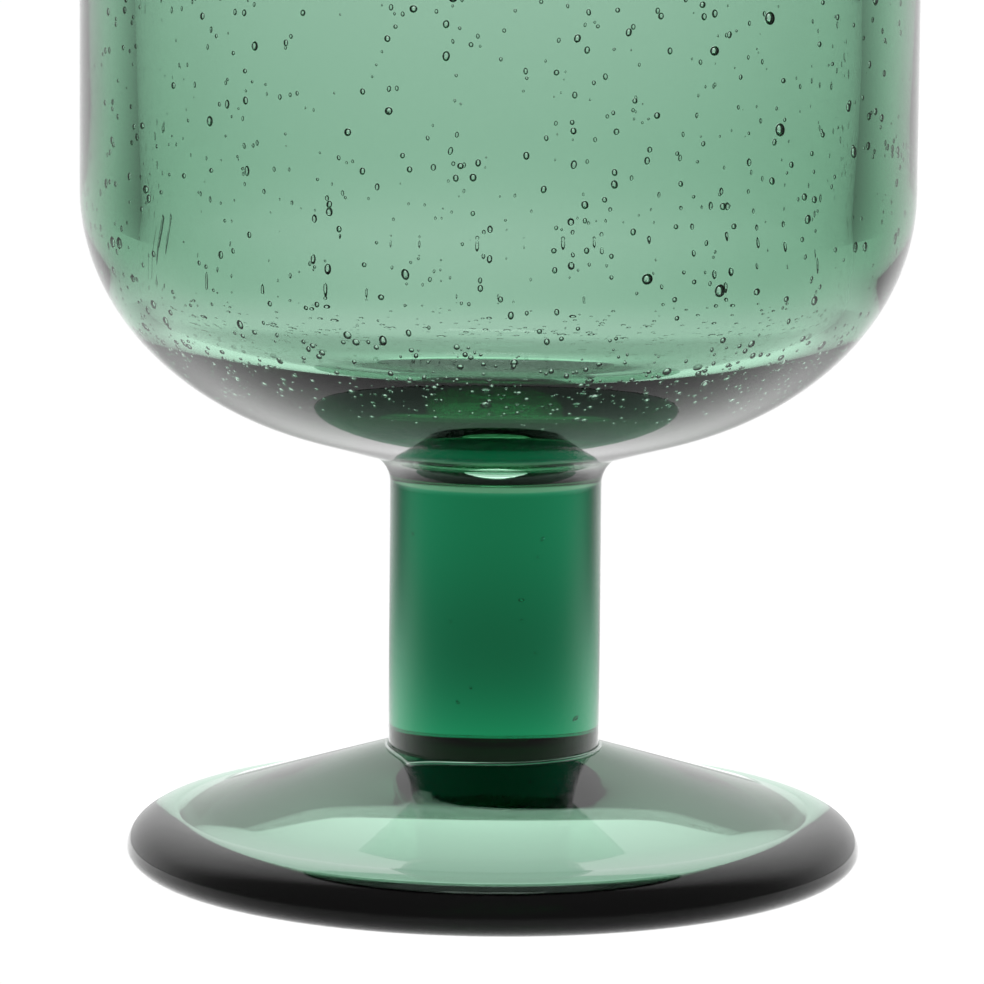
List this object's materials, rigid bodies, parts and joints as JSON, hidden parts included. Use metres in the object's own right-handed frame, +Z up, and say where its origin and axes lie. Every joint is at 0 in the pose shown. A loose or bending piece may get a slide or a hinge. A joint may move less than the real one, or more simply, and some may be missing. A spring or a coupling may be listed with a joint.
{
  "type": "wine glass",
  "caption": "Short-stemmed goblet in thick green bubble glass, with a cylindrical round-bottomed bowl, a solid rod stem and a domed foot.",
  "frame": {"origin": "centre of the standing ring under the foot, on the table plane", "axes": "+Z up along the glass's axis from the foot to the rim; X and Y are level and equivalent"},
  "size_m": [0.085, 0.085, 0.135],
  "materials": {
    "bowl_glass": "clear green glass with fine trapped bubbles, polished",
    "stem_glass": "clear green glass, solid rod, fire polished",
    "foot_glass": "clear green glass, fire polished"
  },
  "bodies": {
    "root": {"bowl": "bowl_glass", "stem": "stem_glass", "foot": "foot_glass"}
  },
  "joints": []
}
